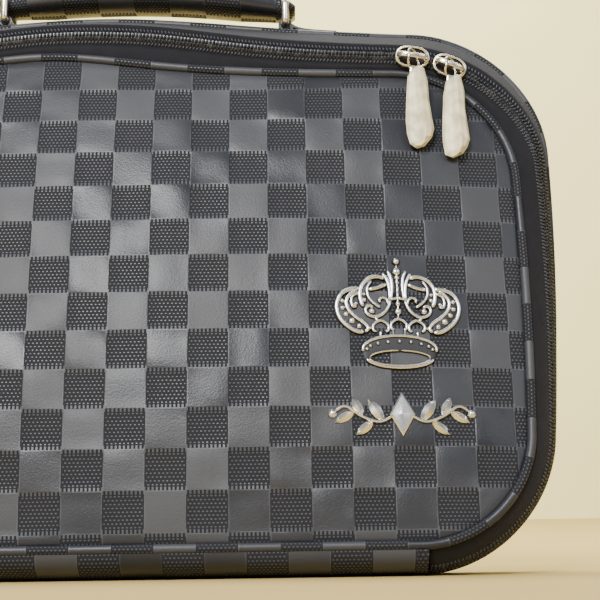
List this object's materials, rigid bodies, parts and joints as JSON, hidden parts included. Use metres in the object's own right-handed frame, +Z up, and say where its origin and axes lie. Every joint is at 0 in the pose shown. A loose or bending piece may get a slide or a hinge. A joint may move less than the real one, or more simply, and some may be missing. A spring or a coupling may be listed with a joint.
{
  "type": "tallit bag",
  "caption": "Soft zip-round carrying case for a prayer shawl: domed checkered leatherette front, piped edges, padded top handle on rings, and a small metal crown and leaf sprig.",
  "frame": {"origin": "middle of the flat base, on the surface that the bag stands on", "axes": "+Z up, the domed front faces -Y, +X to the right seen from the front"},
  "size_m": [0.4036, 0.0964, 0.3003],
  "materials": {
    "leatherette": "dark navy leatherette, embossed checkerboard of smooth and woven-look squares, semi-gloss",
    "dark_leatherette": "black leatherette, fine grain, satin",
    "zip_tape": "woven polyester tape, near black, matt",
    "zip_coil": "black moulded coil, slightly glossy",
    "nickel": "warm nickel plating, polished, light scuffs",
    "silver": "cast silver-tone metal, polished, darkened in its hollows",
    "film": "cloudy cream protective film, crumpled"
  },
  "bodies": {
    "bag": {"front_panel": "leatherette", "back_panel": "leatherette", "gusset": "leatherette", "hinge_strip": "leatherette", "handle": "leatherette", "front_piping": "leatherette", "middle_piping": "leatherette", "rear_piping": "leatherette", "chape_left": "dark_leatherette", "chape_right": "dark_leatherette", "zip_tape_front": "zip_tape", "zip_tape_rear": "zip_tape", "zip_chain": "zip_coil", "slider_left": "nickel", "slider_right": "nickel", "ring_left": "nickel", "ring_right": "nickel", "crown": "silver", "ornament": "silver"},
    "pull_left": {"pull_left": "nickel", "pull_film_left": "film"},
    "pull_right": {"pull_right": "nickel", "pull_film_right": "film"}
  },
  "joints": [
    {"name": "pull_left_swing", "type": "hinge", "parent": "bag", "child": "pull_left", "pos_m": [0.13325, -0.01119, 0.24841], "axis": [-0.9856, 0.032, 0.1662], "range_deg": [0, 150]},
    {"name": "pull_right_swing", "type": "hinge", "parent": "bag", "child": "pull_right", "pos_m": [0.15119, -0.01175, 0.2437], "axis": [-0.9175, 0.0577, 0.3935], "range_deg": [0, 150]}
  ]
}
